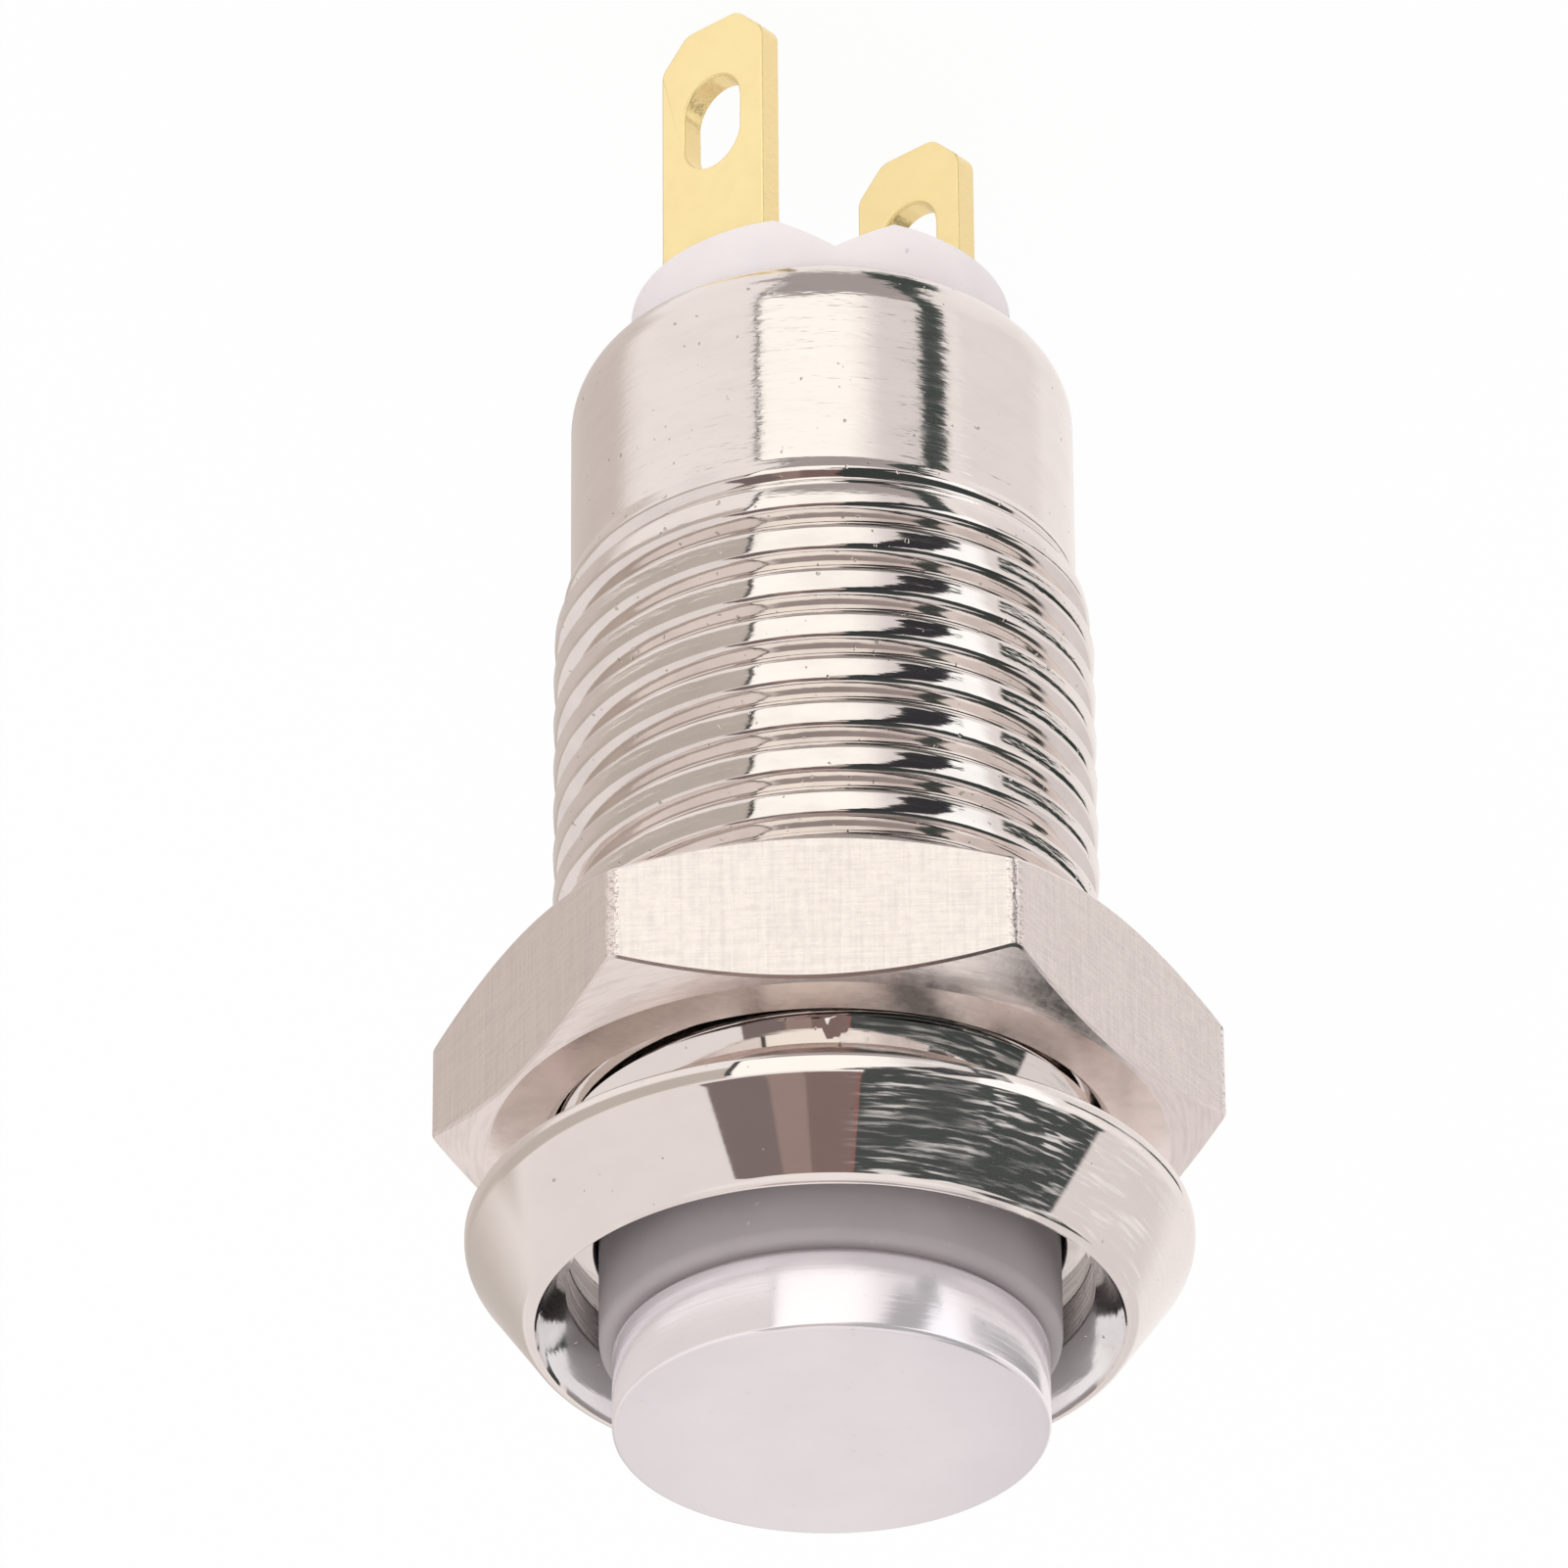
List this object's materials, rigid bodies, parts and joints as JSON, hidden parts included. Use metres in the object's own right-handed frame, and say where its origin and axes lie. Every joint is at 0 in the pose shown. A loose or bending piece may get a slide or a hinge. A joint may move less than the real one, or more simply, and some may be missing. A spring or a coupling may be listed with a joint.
{
  "type": "latching push button switch",
  "caption": "Panel-mount latching push button switch with a metal button, threaded barrel, hexagonal nut and two solder tags.",
  "frame": {"origin": "on the barrel's axis, in the plane of the seat face under the head, which lies on the panel", "axes": "+Z out of the button along the barrel's axis; the two solder tags stand on the X axis, behind the barrel"},
  "size_m": [0.0114, 0.0106, 0.0232],
  "materials": {
    "nickel": "bright turned nickel plate",
    "nut_nickel": "satin nickel plate",
    "cap_metal": "satin turned",
    "grey_plastic": "fine matt",
    "spring_steel": "drawn wire",
    "dark_plastic": "moulded",
    "natural_plastic": "moulded",
    "brass": "stamped",
    "contact_silver": "polished",
    "white_plastic": "milky moulded",
    "tag_gold": "pale satin gold plate"
  },
  "bodies": {
    "housing": {"housing": "nickel", "guide_sleeve": "dark_plastic", "base": "white_plastic", "terminal_right": "tag_gold", "terminal_left": "tag_gold", "fixed_contact_right": "contact_silver", "fixed_contact_left": "contact_silver", "latch_leaf_spring": "spring_steel", "return_spring": "spring_steel"},
    "button": {"button_cap": "cap_metal", "plunger": "grey_plastic", "cam_slider": "natural_plastic", "contact_retainer": "spring_steel", "contact_spring": "spring_steel"},
    "bridge": {"contact_bridge": "brass", "bridge_contact_right": "contact_silver", "bridge_contact_left": "contact_silver"},
    "latch_pin": {"latch_pin": "spring_steel"},
    "nut": {"mounting_nut": "nut_nickel"}
  },
  "joints": [
    {"name": "button_press", "type": "slide", "parent": "housing", "child": "button", "axis": [0, 0, 1], "range_m": [-0.0018, 0], "stiffness_N_per_m": 900, "springref_m": 0.0012, "deforming": ["return_spring"]},
    {"name": "bridge_float", "type": "slide", "parent": "button", "child": "bridge", "axis": [0, 0, 1], "range_m": [0, 0.0008], "deforming": ["contact_spring"]},
    {"name": "latch_swing", "type": "hinge", "parent": "housing", "child": "latch_pin", "pos_m": [0, -0.00227, -0.011], "axis": [0, 1, 0], "range_deg": [0, 15.1]},
    {"name": "nut_run", "type": "slide", "parent": "housing", "child": "nut", "axis": [0, 0, 1], "range_m": [-0.0069, 0]}
  ],
  "couplings": [
    {"joint": "bridge_float", "follows": "button_press", "ratio": -0.44444},
    {"joint": "latch_swing", "follows": "button_press", "rad_per_m": -146.28}
  ]
}
